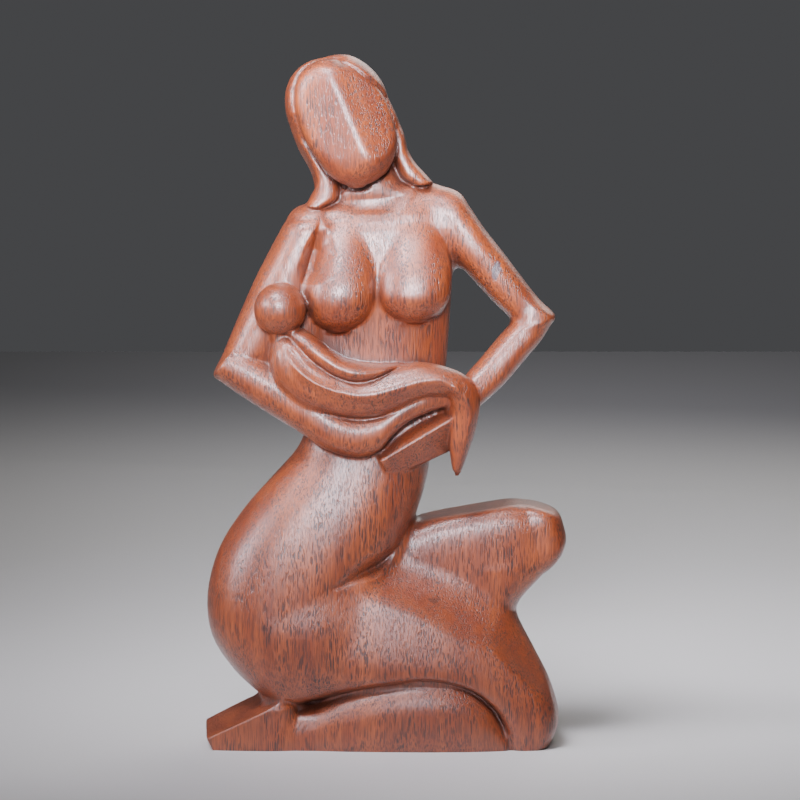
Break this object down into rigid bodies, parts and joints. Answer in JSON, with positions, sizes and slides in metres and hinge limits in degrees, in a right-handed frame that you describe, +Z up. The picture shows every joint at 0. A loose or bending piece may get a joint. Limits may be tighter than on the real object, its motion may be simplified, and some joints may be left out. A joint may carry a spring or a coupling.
{
  "type": "mother and child sculpture",
  "caption": "Carved hardwood figure of a kneeling faceless mother holding a swaddled baby in her crossed forearms, one knee raised, in one piece.",
  "frame": {"origin": "centre of the bounding box at the underside", "axes": "+Z up the figure, front of the figure towards -Y, its raised knee towards +X"},
  "size_m": [0.2106, 0.0926, 0.4003],
  "materials": {
    "wood": "polished"
  },
  "bodies": {
    "root": {"mother_and_child": "wood"}
  },
  "joints": []
}
